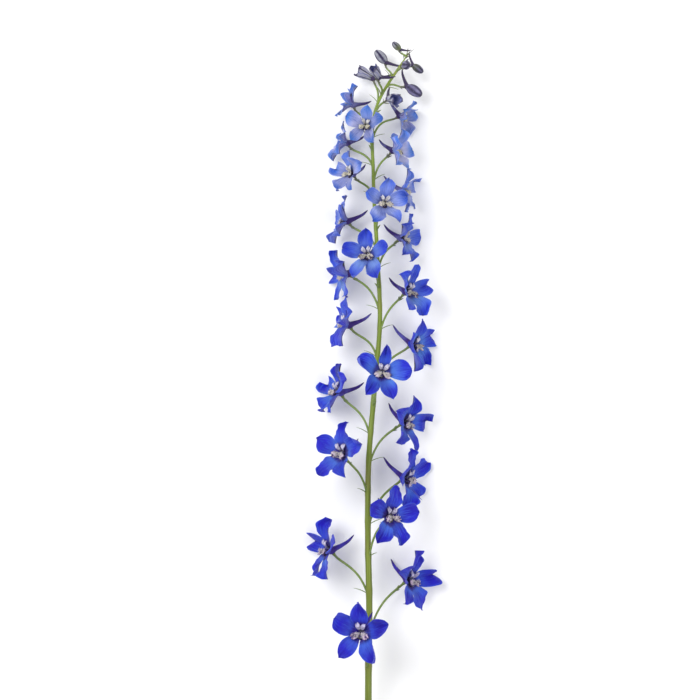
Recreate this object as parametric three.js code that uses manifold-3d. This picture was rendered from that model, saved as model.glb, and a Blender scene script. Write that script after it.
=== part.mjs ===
// A cut delphinium flower spike, lying on a flat surface with its tip towards +Y.
//
// Millimetres, +Z up. One green stem carries a flower on a thin stalk at each of its nodes: open
// blooms low down, half-open ones above them and buds round the nodding tip. An open bloom is
// five blue sepals and a spur in one body, and a tuft of four pale petals, the bee, in its throat.
// Distances along the stem are counted from the cut end. The lowest blooms rest on the surface.

import * as THREE from "three";
import { mergeVertices } from "three/addons/utils/BufferGeometryUtils.js";
import Module from "manifold-3d";

const wasm = await Module();
wasm.setup();

// ---- driving dimensions ----

// The point of the surface that the part's origin lies on, at the middle of the whole spike.
const MIDDLE = [2.1, 297.8];

// Centre line of the stem, one point for every 50 mm of it.
const STEM_STEP = 50;
const STEM_POINTS = [
  [-1, 0, 2.5],
  [-0.5, 50, 7.5],
  [-1, 100, 13],
  [-1, 150, 18.5],
  [-0.5, 200, 21.5],
  [-1.5, 250, 22.5],
  [-1, 300, 22],
  [3, 350, 21.5],
  [7, 400, 21],
  [5, 450, 20],
  [2.5, 500, 18],
  [4, 548, 16],
  [27, 588, 17],
];
const STEM_RADIUS = { cut: 2.8, tip: 0.8 };
const STEM_SIDES = 8;
const STEM_RINGS = 24;
const CUT_ANGLE = 35;

// Nodes of the stem, from the lowest. The gap from one to the next shrinks by a fixed ratio.
const BLOOMS = 24;
const HALF_OPEN = 3;
const BUDS = 5;
const NODES = BLOOMS + HALF_OPEN + BUDS;
const FIRST_NODE = 150;
const LAST_NODE = 597;
const GAP_RATIO = 0.952;
const FIRST_AZIMUTH = 103;
const DIVERGENCE = -137.5;

// Flowers at the two ends of each kind: radius of the open face, reach out from the stem, rise
// above the node, size of hub and spur beside the lowest bloom's, least tilt of the face above
// level, and the angles by which the sepals lean forward of the face at their claws and tips.
const SIZES = {
  bloom: [
    { radius: 22.5, reach: 27.5, rise: 38, girth: 1, tilt: 36, root: 36, tip: -8 },
    { radius: 14.5, reach: 16.5, rise: 16, girth: 0.8, tilt: 14, root: 44, tip: 2 },
  ],
  half_open: [
    { radius: 13.5, reach: 14, rise: 12, girth: 0.75, tilt: 6, root: 80, tip: 40 },
    { radius: 11.5, reach: 13, rise: 10, girth: 0.75, tilt: 6, root: 88, tip: 58 },
  ],
  bud: [
    { radius: 6.5, reach: 13, rise: 9, girth: 0.7, tilt: 12 },
    { radius: 4, reach: 7, rise: 2, girth: 0.45, tilt: 12 },
  ],
};

// How the flowers settle: how far a face leans towards the spike's tip, the share of its radius
// that a level face reaches below its hub, and the lowest and the highest azimuth that this
// gives. Then how close two neighbours' rims come, the share of a squeeze that one round gives
// way, and how deep the lowest sepal is pressed on the surface.
const NOD_TO_TIP = 0.08;
const REACH_DOWN = 0.76;
const LOW_AZIMUTHS = { least: -24, most: 64 };
const ROOM = 0.92;
const GIVE_WAY = 0.25;
const SETTLE_ROUNDS = 100;
const PRESS = 0.3;

// How far a measure varies from one flower to the next, either way, and the salt of its draw.
const VARY = {
  reach: { by: 2, salt: 1 },
  rise: { by: 3, salt: 2 },
  tilt: { by: 18, salt: 3 },
  nod: { by: 0.2, salt: 4 },
  roll: { by: 14, salt: 5 },
  sepalRoot: { by: 5, salt: 6 },
  sepalTips: { by: 9, salt: 7 },
  sepalTip: { by: 9, salt: 8 },
  azimuth: { by: 6, salt: 9 },
  sepalTwist: { by: 0.3, salt: 10 },
  spurSwerve: { by: 0.25, salt: 11 },
};

// How far forward of its hub the middle of each kind of flower lies, and its spur's length, both
// as shares of its radius.
const MIDDLE_FORWARD = { bloom: 0.2, half_open: 0.5, bud: 0.9 };
const SPUR_LENGTH = { bloom: 0.82, half_open: 1.05, bud: 2 };

// Thickness of a sepal, and the gap between two bodies that meet.
const BLADE = 0.7;
const CLEARANCE = 0.3;

// The five sepals: turn from the upper one, length and width as shares of the bloom's radius, and
// how late they are widest: the upper one is pointed, those at the sides are blunt.
const SEPALS = [
  { turn: 0, length: 1, width: 0.62, late: 1.3 },
  { turn: 73, length: 1, width: 0.72, late: 1.85 },
  { turn: 147, length: 1.05, width: 0.62, late: 1.5 },
  { turn: 213, length: 1.05, width: 0.62, late: 1.5 },
  { turn: 287, length: 1, width: 0.72, late: 1.85 },
];
const CLAW = 1.9;
const SEPAL_OUTLINE = { claw: 0.12, belly: 0.98, from: 0.004, upTo: 0.944, blunt: 0.8 };
const SEPAL_CUP = 0.2;
const SEPAL_CELLS = { along: 4, across: 2 };

// A half-open bloom's sepals are longer and narrower.
const HALF_OPEN_SEPAL = { length: 1.1, width: 0.62 };
const HALF_OPEN_CUP = 0.3;
const HALF_OPEN_CELLS = { along: 2, across: 2 };

// A bud's thickness and length as shares of its radius, its five ribs and its taper to the front,
// and how far its back end sits over the hub.
const BUD_SHAPE = { thick: 0.56, length: 2, rib: 0.1, taper: 0.25, sides: 10, rings: 5 };
const BUD_SEAT = 1;

// Hub and spur are one five-sided tube through these rings: distance up the flower, distance
// forward and radius. On the spur the two distances are shares of its length.
const HUB_FRONT = 1.3;
const HUB_RINGS = [
  [0, HUB_FRONT, 3.1],
  [0, -1.1, 3.1],
  [1.6, -3.4, 2.1],
];
const SPUR_RINGS = [
  [0.24, -0.42, 1.5],
  [0.46, -0.7, 1.1],
  [0.74, -0.92, 0.5],
];
// The stalk meets the slanted underside of the hub here, coming from behind and below.
const STALK_SEAT = { up: -1.95, forward: -2.75, slant: 47 };

// The bee's petals: direction from straight up, length and width in the lowest bloom. Between two
// petals the outline comes in to the notch, and outside it each petal climbs by the rise.
const PETALS = [
  { turn: 28, length: 6, width: 3.6 },
  { turn: 118, length: 6, width: 4.6 },
  { turn: 242, length: 6, width: 4.6 },
  { turn: 332, length: 6, width: 3.6 },
];
const PETAL_SHOULDER = 0.62;
const PETAL_TIP = 0.6;
const PETAL_NOTCH = 1.4;
const PETAL_RISE = 0.75;
const PETAL_BLADE = 0.85;

// A stalk's radius at its two ends, and how far it first follows the stem, keeps close to it, and
// then runs straight into the flower's back, as shares of the flower's rise and reach.
const STALK_RADIUS = { root: 0.75, flower: 1.1 };
const STALK_BOW = { follow: 0.7, close: 0.2, straight: 0.36 };
const STALK_SIDES = 4;
const STALK_RINGS = 5;

// ---- small helpers ----

const vec = (x, y, z) => new THREE.Vector3(x, y, z);
const radians = THREE.MathUtils.degToRad;
const mix = THREE.MathUtils.lerp;
const clamp = THREE.MathUtils.clamp;
const UP = vec(0, 0, 1);

// An even, repeatable draw between -1 and 1 for item k.
function draw(k, salt) {
  const x = (k + 1) * 0.618034 + salt * 0.754878;
  return 2 * (x - Math.floor(x)) - 1;
}
const vary = (name, k) => VARY[name].by * draw(k, VARY[name].salt);

const STEM_LENGTH = STEM_STEP * (STEM_POINTS.length - 1);
const stemCurve = new THREE.CatmullRomCurve3(
  STEM_POINTS.map((p) => vec(...p)),
  false,
  "catmullrom",
  0.5,
);
const stemPoint = (s) => stemCurve.getPoint(clamp(s / STEM_LENGTH, 0, 1));
const stemRadius = (s) =>
  mix(STEM_RADIUS.cut, STEM_RADIUS.tip, clamp(s / STEM_LENGTH, 0, 1) ** 1.2);

// Axes across the stem at s: along it, to its right and up off the surface.
function stemAxes(s) {
  const span = 2;
  const along = stemPoint(s + span)
    .sub(stemPoint(s - span))
    .normalize();
  const right = along.clone().cross(UP).normalize();
  return { along, right, up: right.clone().cross(along) };
}

const outward = (axes, azimuth) =>
  axes.right
    .clone()
    .multiplyScalar(Math.cos(azimuth))
    .addScaledVector(axes.up, Math.sin(azimuth));

// ---- where each flower sits ----

// The sizes of a kind's flower that lies the share t of the way from its low end to its high one.
function between(kind, t) {
  const [low, high] = SIZES[kind];
  const size = Object.keys(low).map((name) => [name, mix(low[name], high[name], t)]);
  return { kind, ...Object.fromEntries(size) };
}

function sizeOf(k) {
  if (k < BLOOMS) {
    const t = k / (BLOOMS - 1);
    const size = between("bloom", t);
    size.radius = between("bloom", t ** 1.5).radius;
    size.reach += vary("reach", k);
    size.rise += vary("rise", k);
    return size;
  }
  if (k < BLOOMS + HALF_OPEN) return between("half_open", (k - BLOOMS) / (HALF_OPEN - 1));
  return between("bud", (k - BLOOMS - HALF_OPEN) / (BUDS - 1));
}

// A flower is attached at s and would open level with the point at on the stem.
function planFlower(k) {
  const share = (1 - GAP_RATIO ** k) / (1 - GAP_RATIO ** (NODES - 1));
  const s = mix(FIRST_NODE, LAST_NODE, share);
  const azimuth = radians(FIRST_AZIMUTH + DIVERGENCE * k + vary("azimuth", k));
  const size = sizeOf(k);
  const tilt = radians(size.tilt + vary("tilt", k));
  return { k, s, azimuth, at: s + size.rise, ...size, tilt };
}

// The lowest azimuth at which a flower still clears the surface.
function lowestAzimuth(f) {
  const reachDown = REACH_DOWN * f.radius * Math.cos(f.tilt);
  const climb = (reachDown - stemPoint(f.at).z) / f.reach;
  const azimuth = Math.asin(clamp(climb, -1, 1));
  return clamp(azimuth, radians(LOW_AZIMUTHS.least), radians(LOW_AZIMUTHS.most));
}

// Folds an azimuth into the part of the turn that lies above low on either side.
function foldAbove(azimuth, low) {
  const turn = 2 * Math.PI;
  let a = ((azimuth % turn) + turn) % turn;
  if (a > 0.75 * turn) a -= turn;
  return clamp(a, low, Math.PI - low);
}

// The flower's own axes: w the way it faces, b towards the spike's tip and a across both.
function place(f) {
  const axes = stemAxes(f.at);
  const hub = stemPoint(f.at).addScaledVector(outward(axes, f.turn), f.reach);
  const w = outward(axes, foldAbove(f.turn, f.tilt))
    .addScaledVector(axes.along, NOD_TO_TIP + vary("nod", f.k))
    .normalize();
  const b = axes.along
    .clone()
    .addScaledVector(w, -axes.along.dot(w))
    .normalize()
    .applyAxisAngle(w, radians(vary("roll", f.k)));
  const a = b.clone().cross(w);
  return { hub, a, b, w };
}

// Neighbours shoulder each other aside, round the stem and along it.
function settle(flowers) {
  for (const f of flowers) f.turn = foldAbove(f.azimuth, lowestAzimuth(f));
  for (let round = 0; round < SETTLE_ROUNDS; round++) {
    const centres = flowers.map((f) => {
      const { hub, w } = place(f);
      return hub.addScaledVector(w, MIDDLE_FORWARD[f.kind] * f.radius);
    });
    const push = flowers.map(() => vec(0, 0, 0));
    for (let i = 0; i < flowers.length; i++)
      for (let j = i + 1; j < flowers.length; j++) {
        const apart = centres[j].clone().sub(centres[i]);
        const short = ROOM * (flowers[i].radius + flowers[j].radius) - apart.length();
        if (short <= 0) continue;
        apart.setLength(GIVE_WAY * short);
        push[i].sub(apart);
        push[j].add(apart);
      }
    flowers.forEach((f, n) => {
      const axes = stemAxes(f.at);
      const sideways = outward(axes, f.turn + Math.PI / 2);
      f.turn = foldAbove(f.turn + push[n].dot(sideways) / f.reach, lowestAzimuth(f));
      f.at += push[n].dot(axes.along);
    });
  }
}

// A point given in a flower's own axes.
const inFlower = (f, a, b, w) =>
  f.hub
    .clone()
    .addScaledVector(f.a, a)
    .addScaledVector(f.b, b)
    .addScaledVector(f.w, w);

// ---- geometry helpers ----

// Vertices closer than this are one.
const WELD = 1e-4;

// Moves each vertex of a closed geometry by a function of its position.
function bend(geometry, move) {
  const p = geometry.getAttribute("position");
  for (let i = 0; i < p.count; i++) {
    const q = move(p.getX(i), p.getY(i), p.getZ(i));
    p.setXYZ(i, q.x, q.y, q.z);
  }
  geometry.deleteAttribute("normal");
  geometry.deleteAttribute("uv");
  return mergeVertices(geometry, WELD);
}

function solid(geometry) {
  return new wasm.Manifold(
    new wasm.Mesh({
      numProp: 3,
      vertProperties: new Float32Array(geometry.getAttribute("position").array),
      triVerts: new Uint32Array(geometry.index.array),
    }),
  );
}

const join = (solids) => solids.reduce((all, s) => all.add(s));

// A round tube along path(t), t from 0 to 1, with a corner of each ring towards side. Its rings
// turn no more than the path does.
function tube(path, radius, sides, steps, side) {
  const near = 0.01;
  const rings = [];
  for (let i = 0; i <= steps; i++) {
    const t = i / steps;
    const along = path(Math.min(t + near, 1))
      .sub(path(Math.max(t - near, 0)))
      .normalize();
    side = side.clone().addScaledVector(along, -side.dot(along)).normalize();
    rings.push({ centre: path(t), side, across: along.cross(side) });
  }
  const cylinder = new THREE.CylinderGeometry(1, 1, 1, sides, steps);
  return bend(cylinder, (x, y, z) => {
    const t = y + 0.5;
    const ring = rings[Math.round(t * steps)];
    return ring.centre
      .clone()
      .addScaledVector(ring.side, z * radius(t))
      .addScaledVector(ring.across, x * radius(t));
  });
}

// A thin blade about mid(u, v), u from root to tip and v from -1 at one edge to 1 at the other.
function blade(mid, { along, across }) {
  const box = new THREE.BoxGeometry(2, 1, 2, across, along, 1);
  // The back's squares are split the same way as the front's, so the blade keeps its thickness.
  const back = box.groups.at(-1);
  const index = box.index.array;
  for (let i = back.start; i < back.start + back.count; i += 6) {
    const [a, b, , , c, d] = index.slice(i, i + 6);
    index.set([a, b, c, a, c, d], i);
  }
  const step = 0.02;
  return bend(box, (v, y, side) => {
    const u = Math.sin(((y + 0.5) * Math.PI) / 2);
    const up = mid(Math.min(u + step, 1), v).sub(mid(Math.max(u - step, 0), v));
    const over = mid(u, Math.min(v + step, 1)).sub(mid(u, Math.max(v - step, -1)));
    return mid(u, v).addScaledVector(over.cross(up).normalize(), (side * BLADE) / 2);
  });
}

// ---- the bloom ----

// Half-width of a sepal as a share of its greatest: a narrow claw, then half a sine wave whose
// crest comes late and whose end is blunt.
function sepalWidth(u, late) {
  const { claw, belly, from, upTo, blunt } = SEPAL_OUTLINE;
  return claw * (1 - u) + belly * Math.sin(Math.PI * mix(from, upTo, u ** late)) ** blunt;
}

// Middle surface of a flower's sepal i. Its midrib is an arc that leans forward of the face by one
// angle at the claw and another at the tip. Its edges lift forward by the share cup, and the twist
// lifts one of them further and lowers the other, most at the tip.
function sepalMid(f, i, form, cup) {
  const turn = radians(form.turn);
  const length = form.length * f.radius - CLAW;
  const half = (form.width * f.radius) / 2;
  const item = SEPALS.length * f.k + i;
  const start = radians(f.root + vary("sepalRoot", f.k));
  const end = radians(f.tip + vary("sepalTips", f.k) + vary("sepalTip", item));
  const bow = end - start;
  const twist = vary("sepalTwist", item);
  return (u, v) => {
    const angle = start + bow * u;
    const side = half * sepalWidth(u, form.late) * v;
    const lift = cup * Math.abs(side * v) + twist * side * u;
    const out =
      CLAW +
      (length * (Math.sin(angle) - Math.sin(start))) / bow -
      lift * Math.sin(angle);
    const forward =
      (length * (Math.cos(start) - Math.cos(angle))) / bow + lift * Math.cos(angle);
    return inFlower(
      f,
      side * Math.cos(turn) + out * Math.sin(turn),
      out * Math.cos(turn) - side * Math.sin(turn),
      forward,
    );
  };
}

// Middle surface of an open bloom's sepal i.
const openSepal = (f, i) => sepalMid(f, i, SEPALS[i], SEPAL_CUP);

// A tube through the hub's rings and back along the spur, which turns up behind the upper sepal
// and a little aside.
function hubAndSpur(f) {
  const length = SPUR_LENGTH[f.kind] * f.radius;
  const rings = [
    ...HUB_RINGS.map((ring) => ring.map((x) => x * f.girth)),
    ...SPUR_RINGS.map(([up, forward, r]) => [up * length, forward * length, r * f.girth]),
  ];
  const swerve = vary("spurSwerve", f.k) / length;
  const points = rings.map(([up, forward]) => inFlower(f, swerve * forward ** 2, up, forward));
  const curve = new THREE.CatmullRomCurve3(points);
  const last = rings.length - 1;
  const radius = (t) => rings[Math.round(t * last)][2];
  return solid(tube((t) => curve.getPoint(t), radius, SEPALS.length, last, f.b.clone().negate()));
}

function bloom(f) {
  const sepals = SEPALS.map((_, i) => solid(blade(openSepal(f, i), SEPAL_CELLS)));
  return join([...sepals, hubAndSpur(f)]);
}

// A bloom at its lowest azimuth is let down until its lowest sepal presses on the surface.
const NEAR_TIP = 0.92;
const SAME = 1e-6;
function letDown(f) {
  const above = Math.min(f.turn, Math.PI - f.turn) - lowestAzimuth(f);
  if (f.kind !== "bloom" || above > SAME) return;
  const heights = SEPALS.flatMap((_, i) => {
    const mid = openSepal(f, i);
    return [-1, 0, 1].flatMap((v) => [mid(NEAR_TIP, v).z, mid(1, v).z]);
  });
  f.hub.z -= Math.min(...heights) - BLADE / 2 + PRESS;
}

// ---- the bee ----

// Outline of the four petals, laid flat, with the notch that follows each of them.
function beeOutline() {
  const points = [];
  PETALS.forEach(({ turn, length, width }, i) => {
    const angle = radians(turn);
    const out = new THREE.Vector2(Math.sin(angle), Math.cos(angle));
    const aside = new THREE.Vector2(out.y, -out.x);
    const point = (far, side) =>
      out
        .clone()
        .multiplyScalar(far * length)
        .addScaledVector(aside, (side * width) / 2);
    points.push(point(PETAL_SHOULDER, -1), point(1, -PETAL_TIP));
    points.push(point(1, PETAL_TIP), point(PETAL_SHOULDER, 1));
    const next = i + 1 < PETALS.length ? PETALS[i + 1].turn : PETALS[0].turn + 360;
    const between = radians((turn + next) / 2);
    const notch = new THREE.Vector2(Math.sin(between), Math.cos(between));
    points.push(notch.multiplyScalar(PETAL_NOTCH));
  });
  return new THREE.Shape(points);
}

// Four petals in one body, cut from a sheet that is then bent forward into a tuft.
function bee(f) {
  const size = f.radius / SIZES.bloom[0].radius;
  const foot = HUB_FRONT * f.girth + CLEARANCE;
  const sheet = new THREE.ExtrudeGeometry(beeOutline(), {
    depth: PETAL_BLADE,
    bevelEnabled: false,
  });
  return solid(
    bend(sheet, (x, y, z) => {
      const climb = PETAL_RISE * Math.max(0, Math.hypot(x, y) - PETAL_NOTCH);
      return inFlower(f, size * x, size * y, foot + z + size * climb);
    }),
  );
}

// ---- half-open blooms and buds ----

function halfOpen(f) {
  const sepals = SEPALS.map((sepal, i) => {
    const length = sepal.length * HALF_OPEN_SEPAL.length;
    const width = sepal.width * HALF_OPEN_SEPAL.width;
    const mid = sepalMid(f, i, { ...sepal, length, width }, HALF_OPEN_CUP);
    return solid(blade(mid, HALF_OPEN_CELLS));
  });
  return join([...sepals, hubAndSpur(f)]);
}

// A bud is a ribbed, pointed egg: five sepals folded over each other, with the spur behind.
function bud(f) {
  const { thick, length, rib, taper, sides, rings } = BUD_SHAPE;
  const egg = bend(new THREE.SphereGeometry(1, sides, rings), (x, y, z) => {
    const t = (y + 1) / 2;
    const ribs = 1 + rib * Math.cos(SEPALS.length * Math.atan2(z, x));
    const r = thick * f.radius * ribs * (1 - taper * t);
    return inFlower(f, z * r, x * r, length * f.radius * t - BUD_SEAT);
  });
  return join([solid(egg), hubAndSpur(f)]);
}

// ---- stem and stalks ----

// Each stalk leaves its node close to the stem, bows out and turns square into the flower's back.
function stalk(f) {
  const axes = stemAxes(f.s);
  const slant = radians(STALK_SEAT.slant);
  const into = f.b.clone().multiplyScalar(Math.sin(slant)).addScaledVector(f.w, Math.cos(slant));
  const { up, forward } = STALK_SEAT;
  const seat = inFlower(f, 0, up * f.girth, forward * f.girth);
  const end = seat.addScaledVector(into, -CLEARANCE);
  const { follow, close, straight } = STALK_BOW;
  const beside = stemPoint(mix(f.s, f.at, follow));
  const curve = new THREE.CubicBezierCurve3(
    stemPoint(f.s),
    beside.addScaledVector(outward(axes, f.turn), close * f.reach),
    end.clone().addScaledVector(into, -straight * f.reach),
    end,
  );
  const flare = STALK_RADIUS.flower * f.girth;
  const radius = (t) => mix(STALK_RADIUS.root, flare, t ** 3);
  return solid(tube((t) => curve.getPoint(t), radius, STALK_SIDES, STALK_RINGS, f.a));
}

function stem(flowers) {
  const body = tube(
    (t) => stemPoint(t * STEM_LENGTH),
    (t) => stemRadius(t * STEM_LENGTH),
    STEM_SIDES,
    STEM_RINGS,
    UP,
  );
  // The slanting cut leaves the stem from the surface up, its lower edge at the very end.
  const size = 40;
  const waste = new THREE.BoxGeometry(size, size, size).translate(0, -size / 2, size / 2);
  waste.rotateX(radians(-CUT_ANGLE));
  const cut = solid(body).subtract(solid(bend(waste, vec)));
  return join([cut, ...flowers.map(stalk)]);
}

// ---- assembly ----

// Whatever reaches below the surface is pressed flat on it.
const BOARD = { width: 200, length: 700, depth: 10 };
const board = new THREE.BoxGeometry(BOARD.width, BOARD.length, BOARD.depth);
board.translate(MIDDLE[0], MIDDLE[1], -BOARD.depth / 2);
const surface = solid(bend(board, vec));
const onSurface = (made) => made.subtract(surface);

const MATERIALS = {
  stem: { color: 0x93a63f, roughness: 0.5, metalness: 0 },
  bloom: { color: 0x2f35dd, roughness: 0.65, metalness: 0 },
  bee: { color: 0xeee2d4, roughness: 0.7, metalness: 0 },
  half_open: { color: 0x7d7fc6, roughness: 0.65, metalness: 0 },
  bud: { color: 0x5b4f86, roughness: 0.6, metalness: 0 },
};

function meshOf(name, kind, made) {
  const { vertProperties, triVerts } = made.getMesh();
  const geometry = new THREE.BufferGeometry();
  geometry.setAttribute("position", new THREE.BufferAttribute(vertProperties, 3));
  geometry.setIndex(new THREE.BufferAttribute(triVerts, 1));
  geometry.computeVertexNormals();
  const mesh = new THREE.Mesh(geometry, new THREE.MeshStandardMaterial(MATERIALS[kind]));
  mesh.name = name;
  return mesh;
}

const flowers = Array.from({ length: NODES }, (_, k) => planFlower(k));
settle(flowers);
for (const f of flowers) Object.assign(f, place(f));
for (const f of flowers) letDown(f);

const MAKERS = { bloom, half_open: halfOpen, bud };
const spike = new THREE.Group();
spike.add(meshOf("stem", "stem", onSurface(stem(flowers))));
for (const f of flowers) {
  const number = String(f.k + 1).padStart(2, "0");
  spike.add(meshOf(f.kind + "_" + number, f.kind, onSurface(MAKERS[f.kind](f))));
  if (f.kind === "bloom") spike.add(meshOf("bee_" + number, "bee", onSurface(bee(f))));
}
spike.position.set(-MIDDLE[0], -MIDDLE[1], 0);

const part = new THREE.Group();
part.add(spike);
export default part;
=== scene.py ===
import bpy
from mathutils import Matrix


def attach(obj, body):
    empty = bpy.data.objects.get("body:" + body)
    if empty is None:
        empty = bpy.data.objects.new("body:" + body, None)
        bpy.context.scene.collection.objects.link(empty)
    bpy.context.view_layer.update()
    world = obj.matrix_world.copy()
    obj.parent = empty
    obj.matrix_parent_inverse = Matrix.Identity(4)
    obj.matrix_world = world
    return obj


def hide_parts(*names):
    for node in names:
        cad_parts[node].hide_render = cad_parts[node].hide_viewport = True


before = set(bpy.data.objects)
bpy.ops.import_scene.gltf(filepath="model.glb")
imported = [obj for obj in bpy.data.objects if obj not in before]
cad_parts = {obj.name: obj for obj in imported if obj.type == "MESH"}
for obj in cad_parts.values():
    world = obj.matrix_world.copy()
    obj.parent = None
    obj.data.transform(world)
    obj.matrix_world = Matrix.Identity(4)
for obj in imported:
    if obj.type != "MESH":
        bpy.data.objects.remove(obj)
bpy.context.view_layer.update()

# A cut delphinium spike lying on a pale floor. The flowers stand where the frame's solids stand:
# the rule that places them is the same, in millimetres from the cut end of the stem.

from types import SimpleNamespace

import bpy
import numpy as np
from mathutils import Vector

MM = 0.001
TAU = 2 * np.pi
GOLDEN = 0.381966 * TAU
UP = np.array([0.0, 0.0, 1.0])
TINY = 1e-9

# ---- driving dimensions, in millimetres ----

# They are the frame's own, but for the half-open sepals, which close further here.

MIDDLE = np.array([2.1, 297.8, 0.0])

STEM_STEP = 50
STEM_POINTS = np.array(
    [[-1, 0, 2.5], [-0.5, 50, 7.5], [-1, 100, 13], [-1, 150, 18.5], [-0.5, 200, 21.5]]
    + [[-1.5, 250, 22.5], [-1, 300, 22], [3, 350, 21.5], [7, 400, 21], [5, 450, 20]]
    + [[2.5, 500, 18], [4, 548, 16], [27, 588, 17]]
)
STEM_LENGTH = STEM_STEP * (len(STEM_POINTS) - 1)
STEM_RADIUS = {"cut": 2.8, "tip": 0.8}
CUT_ANGLE = 35

COUNTS = {"bloom": 24, "half_open": 3, "bud": 5}
NODES = sum(COUNTS.values())
FIRST_NODE = 150
LAST_NODE = 597
GAP_RATIO = 0.952
FIRST_AZIMUTH = 103
DIVERGENCE = -137.5

# The lowest and the highest flower of each kind: radius of the open face, reach out from the stem,
# rise above the node, girth of hub and spur, least tilt of the face above level, and how far the
# sepals lean forward of the face at their claws and at their tips.
SIZES = {
    "bloom": np.array([[22.5, 27.5, 38, 1, 36, 36, -8], [14.5, 16.5, 16, 0.8, 14, 44, 2]]),
    "half_open": np.array([[13.5, 14, 12, 0.75, 6, 70, 80], [11.5, 13, 10, 0.75, 6, 76, 92]]),
    "bud": np.array([[6.5, 13, 9, 0.7, 12, 0, 0], [4, 7, 2, 0.45, 12, 0, 0]]),
}
WIDEST = SIZES["bloom"][0, 0]
SHRINK = 1.5

NOD_TO_TIP = 0.08
REACH_DOWN = 0.76
LOW_AZIMUTHS = (-24, 64)
ROOM = 0.92
GIVE_WAY = 0.25
SETTLE_ROUNDS = 100
PRESS = 0.3
SAME_ANGLE = 1e-6

# Places up the stem between which a flower's youth rises from 0 to 1.
YOUTH_SPAN = (180, 590)

# How far a measure varies from one flower to the next, either way, and the salt of its draw.
VARY = {
    "reach": (2, 1),
    "rise": (3, 2),
    "tilt": (18, 3),
    "nod": (0.2, 4),
    "roll": (14, 5),
    "sepal root": (5, 6),
    "sepal tips": (9, 7),
    "sepal tip": (9, 8),
    "azimuth": (6, 9),
    "sepal twist": (0.3, 10),
    "spur swerve": (0.25, 11),
}

MIDDLE_FORWARD = {"bloom": 0.2, "half_open": 0.5, "bud": 0.9}
SPUR_LENGTH = {"bloom": 0.82, "half_open": 1.05, "bud": 2}

# The five sepals: turn from the upper one, length and width as shares of the bloom's radius, how
# late they are widest, the power that makes them pointed (1) or blunt, and how much of the pale
# glow they have at the claw.
SEPALS = [
    (0, 1, 0.62, 1.3, 0.85, 0.3),
    (73, 1, 0.72, 1.85, 0.48, 0.65),
    (147, 1.05, 0.62, 1.5, 0.66, 1),
    (213, 1.05, 0.62, 1.5, 0.66, 1),
    (287, 1, 0.72, 1.85, 0.48, 0.65),
]
CLAW = 1.9
BLADE = 0.7

# Sepals of the open and the half-open blooms: their lengths and widths beside those above, and
# how far their edges lift forward. FURL is the twist that all half-open ones share.
OPEN = (1, 1, 0.2)
HALF_OPEN = (1.1, 0.78, 0.3)
FURL = 0.32

HUB_FRONT = 1.3
HUB_RADIUS = 3.1
SPUR_RINGS = np.array([[0.24, -0.42, 1.5], [0.46, -0.7, 1.1], [0.74, -0.92, 0.5]])
STALK_SEAT = (-1.95, -2.75, 47)
STALK_RADIUS = (0.75, 1.1)
STALK_BOW = (0.7, 0.2, 0.36)

# Length, width, bend and tint of the small leaves: at a stalk's foot, on it and at the tip.
BRACT = (9.5, 1.7, 0.3, 0.3)
BRACTEOLE = (4.6, 1.1, 0.15, 0.9)
TIP_BRACT = (6.5, 0.9, 0.12, 0.95)

# How many hairs there are on a petal or a stalk, their length, how it varies, and their radius.
BEARD_HAIRS = (90, 1.9, 0.8, 0.1)
DOWN_HAIRS = (70, 0.7, 0.25, 0.05)

# A stamen in the lowest bloom: its thread's radius, and its anther's length and radius.
THREAD_RADIUS = 0.16
ANTHER = (1.45, 0.48)

# The hollow in the cut end: share of the stem's radius and depth of each ring.
HOLLOW = [(0.93, -0.1), (0.7, 0.12), (0.5, 0.3), (0.42, 1.2), (0.38, 4), (0.3, 6)]

# Rings along each kind of thin blade and points round it.
GRIDS = {"sepal": (28, 36), "half_open": (24, 28), "petal": (18, 28), "leaf": (10, 12)}

# ---- helpers ----


def draw(k, salt):
    """An even, repeatable draw between -1 and 1: the fractional part of two golden steps."""
    x = (np.asarray(k) + 1) * 0.618034 + salt * 0.754878
    return 2 * (x - np.floor(x)) - 1


def vary(name, k):
    by, salt = VARY[name]
    return by * draw(k, salt)


def mix(low, high, t):
    return low + (high - low) * t


def smooth(x, low, high):
    """0 below low, 1 above high and a smooth S between them."""
    t = np.clip((x - low) / (high - low), 0, 1)
    return t * t * (3 - 2 * t)


def dot(p, q):
    return (p * q).sum(axis=-1, keepdims=True)


def unit(p):
    return p / np.sqrt(dot(p, p))


def square_to(axis, p):
    """The unit vector along the part of p that is square to an axis."""
    return unit(p - dot(p, axis) * axis)


def round_turn(count):
    """Angles that share out a full turn."""
    return np.arange(count) * TAU / count


def turned(p, axis, angle):
    """p, square to axis, turned about it by angle."""
    return p * np.cos(angle)[..., None] + np.cross(axis, p) * np.sin(angle)[..., None]


def spline(points, t):
    """Catmull-Rom curve through points, t from 0 to 1: cubics whose slope at each point is half
    the line between its two neighbours."""
    ends = np.vstack([2 * points[0] - points[1], points, 2 * points[-1] - points[-2]])
    p = np.clip(t, 0, 1) * (len(points) - 1)
    i = np.minimum(p.astype(int), len(points) - 2)
    w = (p - i)[..., None]
    before, here, there, after = (ends[i + n] for n in range(4))
    m, n = (there - before) / 2, (after - here) / 2
    square = -3 * here + 3 * there - 2 * m - n
    cube = 2 * here - 2 * there + m + n
    return here + m * w + square * w**2 + cube * w**3


def stem_point(s):
    return spline(STEM_POINTS, np.asarray(s, float) / STEM_LENGTH)


def stem_radius(s):
    share = np.clip(np.asarray(s) / STEM_LENGTH, 0, 1)
    return mix(STEM_RADIUS["cut"], STEM_RADIUS["tip"], share**1.2)


def stem_way(s):
    """Unit vector along the stem."""
    span = 2
    return unit(stem_point(s + span) - stem_point(s - span))


def outward(s, azimuth):
    """Unit vector square to the stem, turned up from its right by azimuth."""
    along = stem_way(s)
    return turned(unit(np.cross(along, UP)), -along, azimuth)


# ---- where each flower sits ----


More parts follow.
